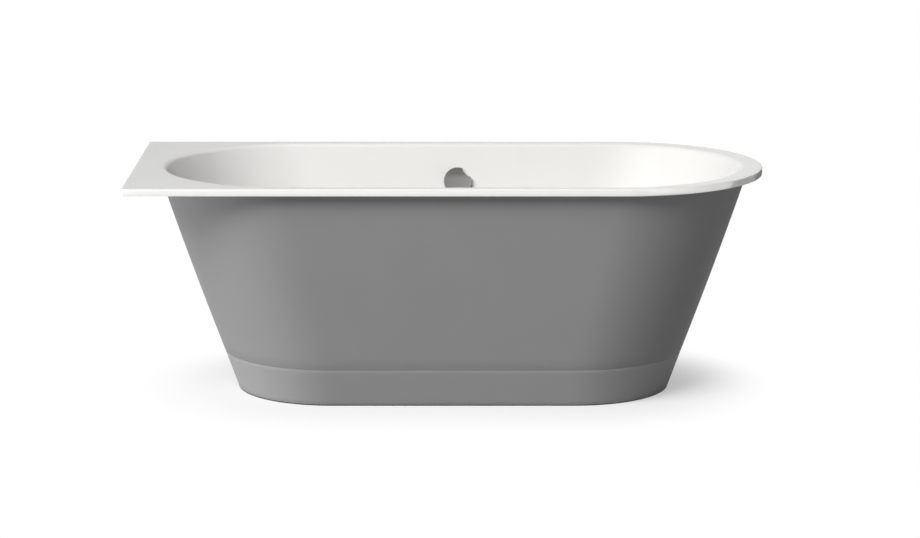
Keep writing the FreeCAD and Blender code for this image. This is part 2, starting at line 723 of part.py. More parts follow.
# Lever on a cross shaft behind the stem, turned by a crank outside the waste body
chamber_bore = waste_cup_radius - plastic_wall
shaft_left = -math.sqrt(chamber_bore ** 2 - lever_reach ** 2) - plastic_wall
shaft_right = cable_offset + crank_sheet / 2
lever = along_x(rod(lever_shaft_radius, shaft_left, shaft_right), (0, lever_reach, lever_z))
lever = lever.fuse(block((-lever_arm_width / 2, 0, lever_z - lever_nose_radius),
                         (lever_arm_width / 2, lever_reach, lever_z + lever_nose_radius)))
lever_nose = rod(lever_nose_radius, -lever_arm_width / 2, lever_arm_width / 2)
lever = lever.fuse(along_x(lever_nose, (0, 0, lever_z)))
save("lift_lever", placed(lever, waste_axis))
crank_low, crank_high = cable_offset - crank_sheet / 2, cable_offset + crank_sheet / 2
crank_z = lever_z + crank_length
crank = block((crank_low, lever_reach - crank_end_radius, lever_z),
              (crank_high, lever_reach + crank_end_radius, crank_z))
for z in (lever_z, crank_z):
    crank = crank.fuse(along_x(rod(crank_end_radius, crank_low, crank_high), (0, lever_reach, z)))
for radius, z in ((lever_shaft_radius + running_gap, lever_z), (crank_pin_radius, crank_z)):
    crank = crank.cut(along_x(rod(radius, crank_low, crank_high), (0, lever_reach, z)))
save("cable_crank", placed(crank, waste_axis))

# Waste body: chamber, overflow arm, spigot to the trap, and a post that stops the cable
arm_z = chamber_low + waste_chamber / 2 - clear_gap
post_near, post_far = cable_post_distance, cable_post_distance + cable_post_depth
post_left, post_right = cable_offset - cable_post_width / 2, cable_offset + cable_post_width / 2
waste = rod(waste_top_radius, waste_top - waste_top_height, waste_top)
waste = waste.fuse(rod(waste_cup_radius, waste_low, waste_top))
waste = waste.fuse(rod(waste_spigot_radius, spigot_low, waste_low))
waste = waste.fuse(along_y(rod(spigot_radius, 0, waste_arm_length), (0, 0, arm_z)))
waste = waste.fuse(block((post_left, 0, waste_low), (post_right, post_far, waste_low + plastic_wall)))
waste = waste.fuse(block((post_left, post_near, waste_low),
                         (post_right, post_far, crank_z + cable_boss_radius)))
waste = waste.cut(rod(chamber_bore, chamber_low, neck_low))
waste = waste.cut(rod(neck_radius + thread_gap, neck_low, waste_top))
waste = waste.cut(rod(waste_spigot_radius - plastic_wall, spigot_low, chamber_low))
waste = waste.cut(along_y(rod(spigot_bore, 0, waste_arm_length), (0, 0, arm_z)))
waste = waste.cut(along_y(rod(cable_core_radius, post_near, post_far), (cable_offset, 0, crank_z)))
shaft_hole = rod(lever_shaft_radius + running_gap, shaft_left - clear_gap, post_right)
waste = waste.cut(along_x(shaft_hole, (0, lever_reach, lever_z)))
save("waste_body", placed(waste, waste_axis))


# Overflow pipe and cable: each runs down the wall, bends once and comes in level to the waste

def bent_route(x, start, end_y, end_z, radius):
    """Line, arc and line in an upright plane, from a point on the rear wall's slope to a level end."""
    down = Vector(0, -math.sin(bowl_side_tilt), -math.cos(bowl_side_tilt))
    to_corner = (start.z - end_z) / -down.z
    corner = start + down * to_corner
    turn = math.pi / 2 - bowl_side_tilt
    trim = radius * math.tan(turn / 2)
    level = Vector(0, -1, 0)
    first, last = corner - down * trim, corner + level * trim
    bisector = (level - down).normalize()
    middle = corner + bisector * (radius / math.cos(turn / 2) - radius)
    return Part.Wire([Part.makeLine(start, first), Part.Arc(first, middle, last).toShape(),
                      Part.makeLine(last, Vector(x, end_y, end_z))])


def swept(route, radius):
    """Round bar along a route."""
    edge = route.Edges[0]
    circle = Part.Wire(Part.makeCircle(radius, edge.Vertexes[0].Point, edge.tangentAt(edge.FirstParameter)))
    return route.makePipeShell([circle], True, False)


pipe_bore = spigot_radius + thread_gap
pipe_radius = pipe_bore + pipe_wall
pipe_start = overflow_frame.multVec(Vector(0, pipe_overlap - overflow_spigot_length, spigot_depth))
pipe_route = bent_route(fittings_x, pipe_start, waste_arm_length - pipe_overlap, arm_z, pipe_bend_radius)
save("overflow_pipe", swept(pipe_route, pipe_radius).cut(swept(pipe_route, pipe_bore)))
clamp_bore = pipe_radius + running_gap
clamp = tube(clamp_bore + clamp_wall, clamp_bore, clamp_inset, clamp_inset + clamp_width)
upper_clamp = down_wall(clamp, 0, overflow_spigot_length - pipe_overlap)
lower_clamp = along_y(clamp, (fittings_x, waste_arm_length - pipe_overlap, arm_z))
save("pipe_clamps", on_wall(upper_clamp, overflow_frame), lower_clamp)

cable_start = overflow_frame.multVec(Vector(cable_offset, -overflow_boss_length, spigot_depth))
cable_route = bent_route(fittings_x + cable_offset, cable_start, post_far, crank_z, cable_bend_radius)
save("drive_cable", swept(cable_route, cable_radius))
ferrule_bore = cable_radius + running_gap
ferrule = tube(ferrule_bore + ferrule_wall, ferrule_bore, 0, ferrule_length)
upper_ferrule = down_wall(ferrule, cable_offset, overflow_boss_length)
lower_ferrule = along_y(ferrule, (fittings_x + cable_offset, post_far, crank_z))
save("cable_ferrules", on_wall(upper_ferrule, overflow_frame), lower_ferrule)

# Trap: a bowl with a dip tube, hung from the waste spigot by a union nut
collar_bore = waste_spigot_radius + clear_gap
collar_radius = waste_spigot_radius + collar_wall
collar_top = spigot_low + collar_height
trap_inside = trap_floor_gap + plastic_wall
outlet_z = spigot_low - trap_outlet_drop
outlet_seat = trap_radius + outlet_shoulder
collar_end = outlet_seat + outlet_collar_length - outlet_shoulder
pipe_clear = waste_spigot_radius - plastic_wall
trap = rod(trap_radius, trap_floor_gap, spigot_low)
trap = trap.cut(rod(trap_radius - plastic_wall, trap_inside, spigot_low - plastic_wall))
trap = trap.fuse(rod(collar_radius, spigot_low - plastic_wall, collar_top))
trap = trap.fuse(along_y(rod(collar_radius, trap_radius - 2 * plastic_wall, collar_end), (0, 0, outlet_z)))
trap = trap.cut(along_y(rod(pipe_clear, 0, outlet_seat), (0, 0, outlet_z)))
trap = trap.cut(along_y(rod(collar_bore, outlet_seat, collar_end), (0, 0, outlet_z)))
trap = trap.fuse(tube(waste_spigot_radius, pipe_clear, trap_inside + trap_dip_gap, spigot_low))
trap = trap.cut(rod(collar_bore, spigot_low, collar_top))
trap = trap.cut(rod(pipe_clear, spigot_low - 2 * plastic_wall, spigot_low))
save("trap_body", placed(trap, waste_axis))


def union_nut(end):
    """Hexagonal nut that covers a collar ending at this height and presses its seal."""
    seat = end + union_seal_height
    nut = hexagon(union_nut_flats, end - union_nut_reach + collar_height / 2, seat + union_lip)
    nut = nut.cut(rod(collar_radius + thread_gap, end - union_nut_reach, seat))
    return nut.cut(rod(collar_bore, seat, seat + union_lip))


union_seal = tube(collar_radius, waste_spigot_radius + running_gap, 0, union_seal_height)
save("trap_seal", placed(union_seal, (fittings_x, 0, collar_top)))
save("trap_nut", placed(union_nut(collar_top), waste_axis))
save("outlet_seal", along_y(union_seal, (fittings_x, collar_end, outlet_z)))
save("outlet_nut", along_y(union_nut(collar_end), (fittings_x, 0, outlet_z)))
pipe_end = outlet_seat + outlet_pipe_length
bead_start = collar_end + union_seal_height + union_lip + clear_gap
outlet_pipe = rod(waste_spigot_radius, outlet_seat, pipe_end)
outlet_bead = rod(waste_spigot_radius + outlet_bead_height, bead_start, bead_start + outlet_bead_width)
outlet_pipe = outlet_pipe.fuse(outlet_bead)
outlet_pipe = outlet_pipe.cut(rod(waste_spigot_radius - outlet_pipe_wall, outlet_seat, pipe_end))
save("outlet_pipe", along_y(outlet_pipe, (fittings_x, 0, outlet_z)))
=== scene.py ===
import math

import bmesh
import bpy
from mathutils import Matrix, Vector


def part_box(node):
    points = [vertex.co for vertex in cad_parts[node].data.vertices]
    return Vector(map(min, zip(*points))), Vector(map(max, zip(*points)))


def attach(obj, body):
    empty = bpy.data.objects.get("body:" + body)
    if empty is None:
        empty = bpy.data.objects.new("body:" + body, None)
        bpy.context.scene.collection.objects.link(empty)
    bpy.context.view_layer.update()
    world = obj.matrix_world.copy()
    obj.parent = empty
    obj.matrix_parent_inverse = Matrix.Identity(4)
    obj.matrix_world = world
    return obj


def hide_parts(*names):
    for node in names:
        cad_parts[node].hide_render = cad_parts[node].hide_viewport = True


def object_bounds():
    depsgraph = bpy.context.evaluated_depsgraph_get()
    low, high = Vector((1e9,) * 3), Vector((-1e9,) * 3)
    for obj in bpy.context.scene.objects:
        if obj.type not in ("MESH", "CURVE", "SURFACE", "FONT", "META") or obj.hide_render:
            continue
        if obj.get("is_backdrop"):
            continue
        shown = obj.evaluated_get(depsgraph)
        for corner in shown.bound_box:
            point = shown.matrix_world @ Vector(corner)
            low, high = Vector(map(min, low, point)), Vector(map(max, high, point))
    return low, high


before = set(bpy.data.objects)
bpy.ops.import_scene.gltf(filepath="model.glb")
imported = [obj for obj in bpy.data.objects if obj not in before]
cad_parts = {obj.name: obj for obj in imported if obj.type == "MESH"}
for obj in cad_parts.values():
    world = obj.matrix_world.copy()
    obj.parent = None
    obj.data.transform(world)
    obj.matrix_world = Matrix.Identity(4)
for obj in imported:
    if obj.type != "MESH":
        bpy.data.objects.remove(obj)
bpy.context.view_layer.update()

# Tub: one sheet of steel, drawn into a deep bowl with a flat rim whose edge is turned down. White
# enamel is fired on the side that shows, over a dark speckled ground coat that stays bare behind.

bath_length = 1.750
bath_width = 0.800
bath_height = 0.628
tub_sheet = 0.003
rim_drop = 0.019
rim_edge_radius = 0.003
rim_corner_radius = 0.004
rim_margin = 0.010
side_ledge = 0.039
round_end_ledge = 0.060
square_end_ledge = 0.085
opening_roll = 0.018
bowl_floor = 0.178
bowl_end_lean = 0.2625
bowl_side_lean = 0.129
bowl_floor_radius = 0.085
recess_radius = 0.043
recess_depth = 0.007
recess_edge = 0.004
wall_hole_radius = 0.026
fittings_offset = 0.012
overflow_drop = 0.106
edge_round = 0.0006
sharp_angle = math.radians(32)
bevel_angle = math.radians(40)
end_steps = 56
side_steps = 18
rim_edge_steps = 4
rim_corner_steps = 4
flat_steps = 4
roll_steps = 8
wall_steps = 10
floor_round_steps = 14
recess_edge_steps = 4
bed_shares = (0.3, 0.55, 0.75, 0.9)
hole_steps = 64
cutter_reach = 0.02
weld_gap = 1e-6
tiny = 1e-9

opening_half_length = (bath_length - round_end_ledge - square_end_ledge) / 2
opening_half_width = bath_width / 2 - side_ledge
bowl_depth = bath_height - bowl_floor
bowl_x = (square_end_ledge - round_end_ledge) / 2
fittings_x = bowl_x + fittings_offset
round_end_x = bath_length / 2 - bath_width / 2
left_arc_x = bowl_x - opening_half_length + opening_half_width
corner_angle = math.atan2(bath_width / 2, left_arc_x + bath_length / 2)


def even_shares(steps):
    """Evenly spaced shares, from 0 to 1."""
    return [k / steps for k in range(steps + 1)]


def turns_to(angle, steps):
    """Evenly spaced angles, from 0 to an angle."""
    return [angle * share for share in even_shares(steps)]


def end_angles():
    """Angles round one end, front to back, with a station that looks at each corner of the rim."""
    angles = [math.pi * (share - 0.5) for share in even_shares(end_steps)]
    for corner in (-corner_angle, corner_angle):
        nearest = min(range(end_steps + 1), key=lambda k: abs(angles[k] - corner))
        angles[nearest] = corner
    return angles


stations = end_angles()


def closed_ring(right_end, left_end):
    """Ring through the points of both ends, with evenly divided straight sides between them."""
    shares = even_shares(side_steps)[1:-1]
    back = [right_end[-1].lerp(left_end[0], share) for share in shares]
    front = [left_end[-1].lerp(right_end[0], share) for share in shares]
    return right_end + back + left_end + front


def turned_point(reach, angle):
    """Plan point where an outline that reaches this far along each direction faces the angle."""
    step = 1e-4
    swing = (reach(angle + step) - reach(angle - step)) / (2 * step)
    along, across = math.cos(angle), math.sin(angle)
    return Vector((reach(angle) * along - swing * across, reach(angle) * across + swing * along, 0))


def oval_ring(reach, lift):
    """Ring that is the same at both ends. lift gives the outward and upward step at an angle."""
    right_end = []
    for angle in stations:
        outward, upward = lift(angle)
        point = turned_point(reach, angle)
        right_end.append(point + Vector((outward * math.cos(angle), outward * math.sin(angle), upward)))
    left_end = [Vector((-point.x, point.y, point.z)) for point in reversed(right_end)]
    return [point + Vector((bowl_x, 0, 0)) for point in closed_ring(right_end, left_end)]


def wall_tilt(angle):
    """How far the bowl's wall leans back from upright where it faces the angle."""
    return math.atan((bowl_side_lean + (bowl_end_lean - bowl_side_lean) * math.cos(angle)) / bowl_depth)


def bowl_reach(z, inset):
    """How far the bowl's wall reaches at a height, less an inset square to the wall."""
    share = (bath_height - z) / bowl_depth
    half_width = opening_half_width - share * bowl_side_lean
    straight = opening_half_length - share * bowl_end_lean - half_width
    return lambda angle: straight * math.cos(angle) + half_width - inset / math.cos(wall_tilt(angle))


def roll_ring(share):
    """Ring on the rolled edge of the opening, from the flat rim at 0 to the wall at 1."""
    middle = bath_height - opening_roll

    def lift(angle):
        turn = share * (math.pi / 2 - wall_tilt(angle))
        return -opening_roll * math.sin(turn), middle + opening_roll * math.cos(turn)
    return oval_ring(bowl_reach(middle, -opening_roll), lift)


def floor_round_ring(share):
    """Ring on the rounding at the foot of the wall, from the wall at 0 to the flat floor at 1."""
    middle = bowl_floor + bowl_floor_radius

    def lift(angle):
        tilt = wall_tilt(angle)
        turn = tilt + share * (math.pi / 2 - tilt)
        return bowl_floor_radius * math.cos(turn), middle - bowl_floor_radius * math.sin(turn)
    return oval_ring(bowl_reach(middle, bowl_floor_radius), lift)


def at_corner(angle):
    """Whether a station looks at a corner of the rim."""
    return abs(abs(angle) - corner_angle) < tiny


def rim_ring(inset, z, corner_turns):
    """Ring round the rim, square at the wall end. Each corner is rounded by a point at each turn."""
    half = bath_width / 2 - inset
    wall_end = -bath_length / 2 + inset
    right_end = [Vector((round_end_x + half * math.cos(a), half * math.sin(a), z)) for a in stations]
    left_end = []
    radius = max(rim_corner_radius - inset, 0)
    for angle in reversed(stations):
        if at_corner(angle):
            side = math.copysign(1, angle)
            centre = Vector((wall_end + radius, side * (half - radius), z))
            for turn in corner_turns if side > 0 else reversed(corner_turns):
                left_end.append(centre + radius * Vector((-math.sin(turn), side * math.cos(turn), 0)))
            continue
        across, along = abs(math.sin(angle)), math.cos(angle)
        reach = min(half / max(across, tiny), (left_arc_x - wall_end) / max(along, tiny))
        left_end.append(Vector((left_arc_x - reach * along, math.copysign(reach * across, angle), z)))
    return closed_ring(right_end, left_end)


def rings_between(outer, inner, shares):
    """Rings part of the way from one ring to another."""
    return [[a.lerp(b, share) for a, b in zip(outer, inner)] for share in shares]


def mesh_from(name, body):
    """Mesh from a finished bmesh."""
    mesh = bpy.data.meshes.new(name)
    body.to_mesh(mesh)
    body.free()
    return mesh


def sheet_mesh(name, rings, partners=None):
    """Skin through rings. partners gives each point of a fuller ring its point in the next one."""
    skin = bmesh.new()
    rows = [[skin.verts.new(point) for point in ring] for ring in rings]
    for outer, inner in zip(rows, rows[1:]):
        follow = range(len(outer)) if len(outer) == len(inner) else partners
        for k in range(len(outer)):
            after = (k + 1) % len(outer)
            corners = [outer[k], outer[after], inner[follow[after]], inner[follow[k]]]
            skin.faces.new(corners if corners[2] is not corners[3] else corners[:3])
    bmesh.ops.remove_doubles(skin, verts=skin.verts, dist=weld_gap)
    return mesh_from(name, skin)


def show(name, mesh, *finishes):
    """New object in the scene with its finishes."""
    piece = bpy.data.objects.new(name, mesh)
    bpy.context.scene.collection.objects.link(piece)
    for each in finishes:
        mesh.materials.append(each)
    return piece


def settle(piece):
    """Apply the modifiers of a piece, and shade it smooth between its sharp edges."""
    view = bpy.context.evaluated_depsgraph_get()
    made = bpy.data.meshes.new_from_object(piece.evaluated_get(view))
    piece.modifiers.clear()
    piece.data = made
    made.name = piece.name
    made.shade_smooth()
    made.set_sharp_from_angle(angle=sharp_angle)


def thicken(piece, thickness):
    """Give a skin its sheet thickness, away from the side that shows."""
    solid = piece.modifiers.new("sheet", "SOLIDIFY")
    solid.thickness = thickness
    solid.offset = -1
    solid.use_even_offset = True
    solid.use_quality_normals = True
    solid.material_offset = len(piece.data.materials) - 1


def cut(piece, mesh):
    """Cut a closed mesh out of a piece."""
    tool = show("cutter", mesh)
    knife = piece.modifiers.new("cut", "BOOLEAN")
    knife.object = tool
    knife.solver = "EXACT"
    settle(piece)
    bpy.data.objects.remove(tool)


def soften(piece, width):
    """Break the sharp edges of a piece."""
    bevel = piece.modifiers.new("edges", "BEVEL")
    bevel.width = width
    bevel.segments = 2
    bevel.limit_method = "ANGLE"
    bevel.angle_limit = bevel_angle
    bevel.harden_normals = False
    settle(piece)


def prism(name, outline, low, high):
    """Closed bar between two copies of an outline of points on X and Y."""
    bar = bmesh.new()
    feet = [bar.verts.new((x, y, low)) for x, y in outline]
    heads = [bar.verts.new((x, y, high)) for x, y in outline]
    count = len(outline)
    for k in range(count):
        after = (k + 1) % count
        bar.faces.new((feet[k], feet[after], heads[after], heads[k]))
    bar.faces.new(heads)
    bar.faces.new(list(reversed(feet)))
    return mesh_from(name, bar)


def circle(radius, steps):
    """Plan points round a circle."""
    return [(radius * math.cos(2 * math.pi * k / steps), radius * math.sin(2 * math.pi * k / steps))
            for k in range(steps)]


class Wire:
    """A socket in the node tree of a finish. Arithmetic on wires adds Math nodes to that tree."""

    def __init__(self, tree, socket=None):
        self.tree = tree
        self.socket = socket

    def node(self, kind, settings, inputs, output=0):
        """Any other node: its settings first, then the values or links of its sockets."""
        made = self.tree.nodes.new("ShaderNode" + kind)
        for name, value in settings.items():
            if name == "stops":
                for stop, (place, shade) in zip(made.color_ramp.elements, value):
                    stop.position = place
                    stop.color = (shade, shade, shade, 1)
            else:
                setattr(made, name, value)
        for name, value in inputs.items():
            if isinstance(value, Wire):
                self.tree.links.new(value.socket, made.inputs[name])
            else:
                made.inputs[name].default_value = value
        return Wire(self.tree, made.outputs[output] if len(made.outputs) else None)

    def math(self, operation, first, second):
        return self.node("Math", {"operation": operation}, {0: first, 1: second})

    def __add__(self, other):
        return self.math("ADD", self, other)

    def __sub__(self, other):
        return self.math("SUBTRACT", self, other)

    def __mul__(self, other):
        return self.math("MULTIPLY", self, other)

    __radd__ = __add__
    __rmul__ = __mul__

    def place(self):
        """Place on the piece, in metres."""
        return self.node("TexCoord", {}, {}, "Object")

    def coordinate(self, axis):
        return self.node("SeparateXYZ", {}, {"Vector": self.place()}, axis)

    def noise(self, scale, detail=2.0):
        """Cloudy value round a half, fixed to the piece. The scale is in spots to a metre."""
        return self.node("TexNoise", {}, {"Vector": self.place(), "Scale": scale, "Detail": detail}, "Fac")

    def cells(self, scale):
        """Crystal grains, each with its own value. The scale is in grains to a metre."""
        return self.node("TexVoronoi", {}, {"Vector": self.place(), "Scale": scale}, "Color")

    def wave(self, axis, pitch):
        """Ripple along an axis, from -1 to 1."""
        return self.math("SINE", self.coordinate(axis) * (2 * math.pi / pitch), 0.0)

    def blend(self, share, first, second):
        """Colour between two colours."""
        return self.node("Mix", {"data_type": "RGBA"}, {0: share, 6: (*first, 1), 7: (*second, 1)}, 2)

    def bump(self, height, distance, strength):
        return self.node("Bump", {}, {"Height": height, "Distance": distance, "Strength": strength})


def material_of(name, shader):
    """Material from a function that returns its shader."""
    material = bpy.data.materials.new(name)
    material.use_nodes = True
    material.node_tree.nodes.clear()
    start = Wire(material.node_tree)
    start.node("OutputMaterial", {}, {"Surface": shader(start)})
    return material


def finish(name, surface):
    """Material of a piece, from a function that returns the sockets of its surface."""
    return material_of(name, lambda start: start.node("BsdfPrincipled", {}, surface(start)))


def enamel_surface(start):
    flow = start.noise(160.0)
    cloud = start.noise(9.0, 1.0)
    return {
        "Base Color": start.blend(cloud, (0.855, 0.848, 0.828), (0.880, 0.873, 0.853)),
        "Roughness": 0.10 + 0.08 * cloud,
        "IOR": 1.5,
        "Normal": start.bump(flow, 0.0001, 0.25),
    }


def ground_coat_surface(start):
    speck = start.noise(900.0, 1.0)
    spots = start.node("ValToRGB", {"stops": ((0.60, 0.0), (0.68, 1.0))}, {0: speck})
    return {
        "Base Color": start.blend(spots, (0.030, 0.034, 0.042), (0.16, 0.17, 0.18)),
        "Roughness": 0.30 + 0.2 * start.noise(60.0),
        "Normal": start.bump(speck, 0.0001, 0.3),
    }


white_enamel = finish("white_enamel", enamel_surface)
ground_coat = finish("ground_coat", ground_coat_surface)

rim_under = bath_height - rim_drop
corner_turns = turns_to(math.pi / 2, rim_corner_steps)
full_rings = [rim_ring(0, rim_under, corner_turns)]
full_rings += [rim_ring(rim_edge_radius * (1 - math.cos(turn)),
                        bath_height - rim_edge_radius * (1 - math.sin(turn)), corner_turns)
               for turn in turns_to(math.pi / 2, rim_edge_steps)]
plain_ring = rim_ring(rim_margin, bath_height, [math.pi / 4])
corner_stations = [k for k, angle in enumerate(reversed(stations)) if at_corner(angle)]
first_left = len(stations) + side_steps - 1
corner_partners = []
for k in range(len(plain_ring)):
    repeats = len(corner_turns) if k - first_left in corner_stations else 1
    corner_partners += [k] * repeats
roll_rings = [roll_ring(share) for share in even_shares(roll_steps)]
flat_rings = rings_between(plain_ring, roll_rings[0], even_shares(flat_steps)[1:-1])
floor_rings = [floor_round_ring(share) for share in even_shares(floor_round_steps)]
wall_rings = rings_between(roll_rings[-1], floor_rings[0], even_shares(wall_steps)[1:-1])

waste_axis = Vector((fittings_x, 0, 0))
recess_top = bowl_floor - recess_depth


def waste_ring(radius, z):
    """Ring about the waste whose points look at those of the floor."""
    ring = []
    for point in floor_rings[-1]:
        look = (point - waste_axis).to_2d().normalized()
        ring.append(waste_axis + Vector((radius * look.x, radius * look.y, z)))
    return ring


recess_outer = recess_radius + recess_depth
bend = recess_edge * math.tan(math.pi / 8)
recess_turns = turns_to(math.pi / 4, recess_edge_steps)
recess_rings = [waste_ring(recess_outer + bend - recess_edge * math.sin(turn),
                           bowl_floor - recess_edge * (1 - math.cos(turn)))
                for turn in recess_turns]
recess_rings += [waste_ring(recess_radius - bend + recess_edge * math.sin(turn),
                            recess_top + recess_edge * (1 - math.cos(turn)))
                 for turn in reversed(recess_turns)]
recess_rings += [waste_ring((recess_radius + wall_hole_radius) / 2, recess_top),
                 waste_ring(wall_hole_radius, recess_top)]
bed_rings = rings_between(floor_rings[-1], recess_rings[0], bed_shares)

tub = show("tub", sheet_mesh("tub", full_rings + [plain_ring] + flat_rings + roll_rings + wall_rings
                             + floor_rings + bed_rings + recess_rings, corner_partners),
           white_enamel, ground_coat)
thicken(tub, tub_sheet)
settle(tub)

overflow_z = bath_height - overflow_drop
side_tilt = math.atan(bowl_side_lean / bowl_depth)
overflow_y = opening_half_width - overflow_drop * math.tan(side_tilt)
on_wall = (Matrix.Translation((fittings_x, overflow_y, overflow_z))
           @ Matrix.Rotation(math.pi / 2 - side_tilt, 4, "X"))
wall_cutter = prism("wall_cutter", circle(wall_hole_radius, hole_steps), -cutter_reach, cutter_reach)
wall_cutter.transform(on_wall)
cut(tub, wall_cutter)
soften(tub, edge_round)
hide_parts("bath_tub")
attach(tub, "bath")

# Damping pads and earth lug: heavy bitumen sheet, embossed in small squares, is stuck to the long walls to
# still the steel. A tab of zinc-plated steel under the floor takes the earth wire.

square_pitch = 0.012


def dress(material, *names):
    """Put a finish on nodes of the frame."""
    for name in names:
        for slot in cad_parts[name].material_slots:
            slot.material = material


def damping_surface(start):
    grain = start.noise(500.0, 4.0)
    squares = start.wave("X", square_pitch) * start.wave("Z", square_pitch)
    return {
        "Base Color": start.blend(grain, (0.022, 0.021, 0.020), (0.055, 0.053, 0.050)),
        "Roughness": 0.70 + 0.2 * grain,
        "Normal": start.bump(0.7 * squares + grain, 0.0005, 0.6),
    }


def zinc_surface(start):
    grain = start.cells(130.0)
    dulling = start.noise(35.0, 3.0)
    return {
        "Base Color": start.blend(0.6 * grain + 0.4 * dulling, (0.46, 0.47, 0.48), (0.70, 0.70, 0.68)),
        "Metallic": 1.0,
        "Roughness": 0.24 + 0.14 * grain + 0.18 * dulling,
        "Normal": start.bump(start.noise(420.0, 3.0), 0.00005, 0.35),
    }


damping_sheet = finish("damping_sheet", damping_surface)
zinc_steel = finish("zinc_steel", zinc_surface)
dress(damping_sheet, "sound_pads")
dress(zinc_steel, "earth_lug")

# Cross rails: two channels folded from zinc-plated sheet, bedded on rubber strips under the bowl floor. Each
# hangs on two studs welded to the floor and is held by nuts.

rail_pad_thickness = 0.004
rail_stud_radius = 0.004
rail_stud_pitch = 0.00125
rail_stud_length = 0.024
floor_under = bowl_floor - tub_sheet
rail_top = floor_under - rail_pad_thickness
thread_depth_share = 0.6
turn_steps = 24


def threaded_rod(name, low, high, radius, pitch):
    """Rod on Z with a screw thread whose rows climb as they go round."""
    bar = bmesh.new()
    root = radius - thread_depth_share * pitch
    rows = []
    for row in range(-2, 2 * math.ceil((high - low) / pitch) + 1):
        ring = []
        for k in range(turn_steps):
            turn = 2 * math.pi * k / turn_steps
            z = low + pitch * (row / 2 + k / turn_steps)
            reach = radius if row % 2 and low < z < high else root
            z = min(max(z, low), high)
            ring.append(bar.verts.new((reach * math.cos(turn), reach * math.sin(turn), z)))
        rows.append(ring)
    for row in range(len(rows) - 3):
        for k in range(turn_steps):
            lower, upper = rows[row], rows[row + 1]
            if k + 1 < turn_steps:
                corners = (lower[k], lower[k + 1], upper[k + 1], upper[k])
            else:
                corners = (lower[k], rows[row + 2][0], rows[row + 3][0], upper[k])
            bar.faces.new(corners)
    bmesh.ops.remove_doubles(bar, verts=bar.verts, dist=weld_gap)
    bmesh.ops.holes_fill(bar, edges=[edge for edge in bar.edges if edge.is_boundary])
    return mesh_from(name, bar)


def gathered(name, mesh, places):
    """One mesh from copies of a mesh, each moved by a matrix."""
    whole = bmesh.new()
    for place in places:
        before = len(whole.verts)
        whole.from_mesh(mesh)
        whole.verts.ensure_lookup_table()
        bmesh.ops.transform(whole, matrix=place, verts=whole.verts[before:])
    return mesh_from(name, whole)


def corners_of(name, inset, side_inset):
    """Plan places this far along and across inside the four corners of a node's box."""
    low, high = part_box(name)
    along = (low[0] + inset, high[0] - inset)
    across = (low[1] + side_inset, high[1] - side_inset)
    return [Matrix.Translation((x, y, 0)) for x in along for y in across]


def rubber_surface(start):
    grain = start.noise(1100.0, 2.0)
    bloom = start.noise(45.0, 3.0)
    return {
        "Base Color": start.blend(0.5 * grain + 0.5 * bloom, (0.016, 0.016, 0.017), (0.040, 0.040, 0.040)),
        "Roughness": 0.58 + 0.16 * grain + 0.12 * bloom,
        "Normal": start.bump(grain, 0.00008, 0.5),
    }


black_rubber = finish("black_rubber", rubber_surface)
dress(zinc_steel, "left_rail", "right_rail", "rail_nuts")
dress(black_rubber, "rail_pads")
rail_thread = threaded_rod("rail_thread", floor_under - rail_stud_length, floor_under, rail_stud_radius,
                           rail_stud_pitch)
stud_places = corners_of("rail_studs", rail_stud_radius, rail_stud_radius)
rail_studs = show("rail_threads", gathered("rail_threads", rail_thread, stud_places), zinc_steel)
settle(rail_studs)
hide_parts("rail_studs")
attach(rail_studs, "bath")

# Levelling feet: a zinc-plated stud screws up through a weld nut in the rail and is locked by a second nut.
# Its lower end turns in a moulded rubber pad, and a spanner takes the hexagonal collar above the pad.

foot_stud_radius = 0.006
foot_stud_pitch = 0.00175
foot_stud_reach = 0.011
foot_pad_sole = 0.008
foot_pad_height = 0.018
foot_collar_flats = 0.017
foot_collar_height = 0.006
hexagon_steps = 48
hexagon_face_share = 0.48


def hexagon_rings(flats, low, high):
    """Rings of a hexagonal bar on Z, from foot to head, with its corners turned back."""
    round_reach = hexagon_face_share * flats
    angles = [2 * math.pi * k / hexagon_steps for k in range(hexagon_steps)]

    def ring(reach, z):
        return [Vector((reach(a) * math.cos(a), reach(a) * math.sin(a), z(a))) for a in angles]

    def side(angle):
        return flats / 2 / math.cos(angle % (math.pi / 3) - math.pi / 6)

    def slope(angle):
        return (side(angle) - round_reach) * math.tan(math.pi / 6)

    return [ring(lambda a: 0.0, lambda a: low), ring(lambda a: round_reach, lambda a: low),
            ring(side, lambda a: low + slope(a)), ring(side, lambda a: high - slope(a)),
            ring(lambda a: round_reach, lambda a: high), ring(lambda a: 0.0, lambda a: high)]


def welded(name, *meshes):
    """One mesh from several."""
    whole = bmesh.new()
    for mesh in meshes:
        whole.from_mesh(mesh)
    return mesh_from(name, whole)


foot_thread = threaded_rod("foot_thread", foot_pad_sole, rail_top + foot_stud_reach, foot_stud_radius,
                           foot_stud_pitch)
foot_collar = sheet_mesh("foot_collar", hexagon_rings(foot_collar_flats, foot_pad_height,
                                                      foot_pad_height + foot_collar_height))
foot_mesh = welded("foot_screw", foot_thread, foot_collar)
for foot in ("front_left_foot", "front_right_foot", "rear_left_foot", "rear_right_foot"):
    low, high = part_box(foot + "_stud")
    stud = show(foot + "_screw", foot_mesh.copy(), zinc_steel)
    stud.location = ((low[0] + high[0]) / 2, (low[1] + high[1]) / 2, 0)
    settle(stud)
    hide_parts(foot + "_stud")
    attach(stud, foot)
    dress(black_rubber, foot + "_pad")
dress(zinc_steel, "foot_weld_nuts", "foot_lock_nuts")

# Waste: a chromed brass flange seals into the recess of the bowl floor and screws into a moulded body below.
# A domed chromed plug rides on a stem, which a lever on a cross shaft lifts.

